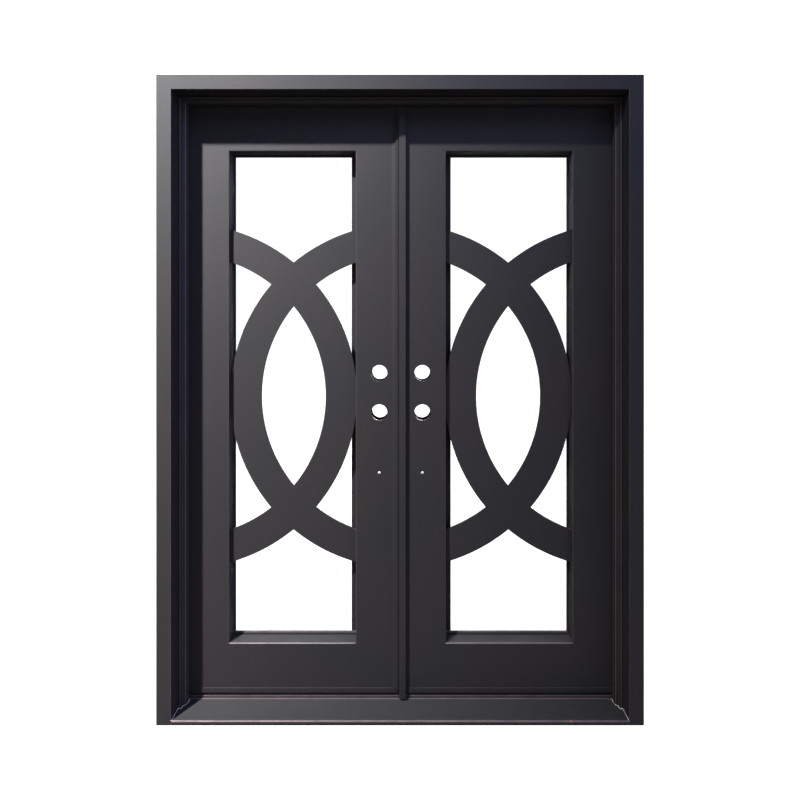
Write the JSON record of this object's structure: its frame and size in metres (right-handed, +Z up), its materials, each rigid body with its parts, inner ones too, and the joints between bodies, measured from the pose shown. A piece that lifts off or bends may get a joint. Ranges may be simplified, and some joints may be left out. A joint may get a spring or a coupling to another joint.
{
  "type": "double entry door with frame",
  "caption": "Painted steel double entry door in its frame, opening inwards, with crossing-arc infills, glazed sashes, an astragal and open lock bores.",
  "frame": {"origin": "middle of the sill's underside: half way across the frame and half way through its 152.4 mm depth", "axes": "+X to the right seen from outside, +Y into the house, +Z up"},
  "size_m": [1.562, 0.188, 2.083],
  "materials": {
    "dark_bronze_paint": "satin, rubbed copper edges",
    "clear_glass": "clear",
    "black_rubber": "matt",
    "bright_steel": "brushed",
    "spacer_aluminium": "mill"
  },
  "bodies": {
    "frame": {"left_jamb": "dark_bronze_paint", "right_jamb": "dark_bronze_paint", "header": "dark_bronze_paint", "threshold": "dark_bronze_paint", "frame_seal": "black_rubber", "header_strike": "bright_steel", "threshold_strike": "bright_steel", "left_frame_knuckles": "dark_bronze_paint", "right_frame_knuckles": "dark_bronze_paint", "left_hinge_pins": "bright_steel", "right_hinge_pins": "bright_steel", "left_hinge_bearings": "bright_steel", "right_hinge_bearings": "bright_steel"},
    "left_leaf": {"left_leaf_frame": "dark_bronze_paint", "left_infill": "dark_bronze_paint", "left_shoe": "dark_bronze_paint", "left_sweep": "black_rubber", "left_leaf_knuckles": "dark_bronze_paint", "left_sash_gasket": "black_rubber", "left_sash_hinge_leaf_half": "dark_bronze_paint", "left_sash_hinge_pins": "bright_steel", "left_button_posts": "bright_steel", "astragal": "dark_bronze_paint", "astragal_seal": "black_rubber", "top_bolt_plate": "bright_steel", "bottom_bolt_plate": "bright_steel", "bolt_plate_screws": "bright_steel"},
    "left_sash": {"left_sash_frame": "dark_bronze_paint", "left_sash_tape": "black_rubber", "left_sash_panes": "clear_glass", "left_sash_spacer": "spacer_aluminium", "left_sash_bead": "dark_bronze_paint", "left_sash_hinge_sash_half": "dark_bronze_paint"},
    "left_lower_button": {"left_lower_button": "dark_bronze_paint"},
    "left_upper_button": {"left_upper_button": "dark_bronze_paint"},
    "right_leaf": {"right_leaf_frame": "dark_bronze_paint", "right_infill": "dark_bronze_paint", "right_shoe": "dark_bronze_paint", "right_sweep": "black_rubber", "right_leaf_knuckles": "dark_bronze_paint", "right_sash_gasket": "black_rubber", "right_sash_hinge_leaf_half": "dark_bronze_paint", "right_sash_hinge_pins": "bright_steel", "right_button_posts": "bright_steel"},
    "right_sash": {"right_sash_frame": "dark_bronze_paint", "right_sash_tape": "black_rubber", "right_sash_panes": "clear_glass", "right_sash_spacer": "spacer_aluminium", "right_sash_bead": "dark_bronze_paint", "right_sash_hinge_sash_half": "dark_bronze_paint"},
    "right_lower_button": {"right_lower_button": "dark_bronze_paint"},
    "right_upper_button": {"right_upper_button": "dark_bronze_paint"},
    "top_flush_bolt": {"top_flush_bolt": "bright_steel"},
    "bottom_flush_bolt": {"bottom_flush_bolt": "bright_steel"}
  },
  "joints": [
    {"name": "right_leaf_hinge", "type": "hinge", "parent": "frame", "child": "right_leaf", "pos_m": [0.7319, 0.0875, 0], "axis": [0, 0, 1], "range_deg": [-110, 0]},
    {"name": "left_leaf_hinge", "type": "hinge", "parent": "frame", "child": "left_leaf", "pos_m": [-0.7319, 0.0875, 0], "axis": [0, 0, 1], "range_deg": [0, 93.5]},
    {"name": "left_sash_hinge", "type": "hinge", "parent": "left_leaf", "child": "left_sash", "pos_m": [-0.6131, 0.0825, 1.034], "axis": [0, 0, 1], "range_deg": [0, 95]},
    {"name": "left_lower_button_turn", "type": "hinge", "parent": "left_leaf", "child": "left_lower_button", "pos_m": [-0.1301, 0.1069, 0.6], "axis": [0, 1, 0], "range_deg": [0, 90]},
    {"name": "left_upper_button_turn", "type": "hinge", "parent": "left_leaf", "child": "left_upper_button", "pos_m": [-0.1301, 0.1069, 1.48], "axis": [0, 1, 0], "range_deg": [0, 90]},
    {"name": "right_sash_hinge", "type": "hinge", "parent": "right_leaf", "child": "right_sash", "pos_m": [0.6131, 0.0825, 1.034], "axis": [0, 0, 1], "range_deg": [-95, 0]},
    {"name": "right_lower_button_turn", "type": "hinge", "parent": "right_leaf", "child": "right_lower_button", "pos_m": [0.1301, 0.1069, 0.6], "axis": [0, 1, 0], "range_deg": [0, 90]},
    {"name": "right_upper_button_turn", "type": "hinge", "parent": "right_leaf", "child": "right_upper_button", "pos_m": [0.1301, 0.1069, 1.48], "axis": [0, 1, 0], "range_deg": [0, 90]},
    {"name": "top_bolt_slide", "type": "slide", "parent": "left_leaf", "child": "top_flush_bolt", "axis": [0, 0, 1], "range_m": [0, 0.022]},
    {"name": "bottom_bolt_slide", "type": "slide", "parent": "left_leaf", "child": "bottom_flush_bolt", "axis": [0, 0, -1], "range_m": [0, 0.022]}
  ],
  "couplings": [
    {"joint": "left_leaf_hinge", "follows": "right_leaf_hinge", "ratio": -0.85}
  ]
}
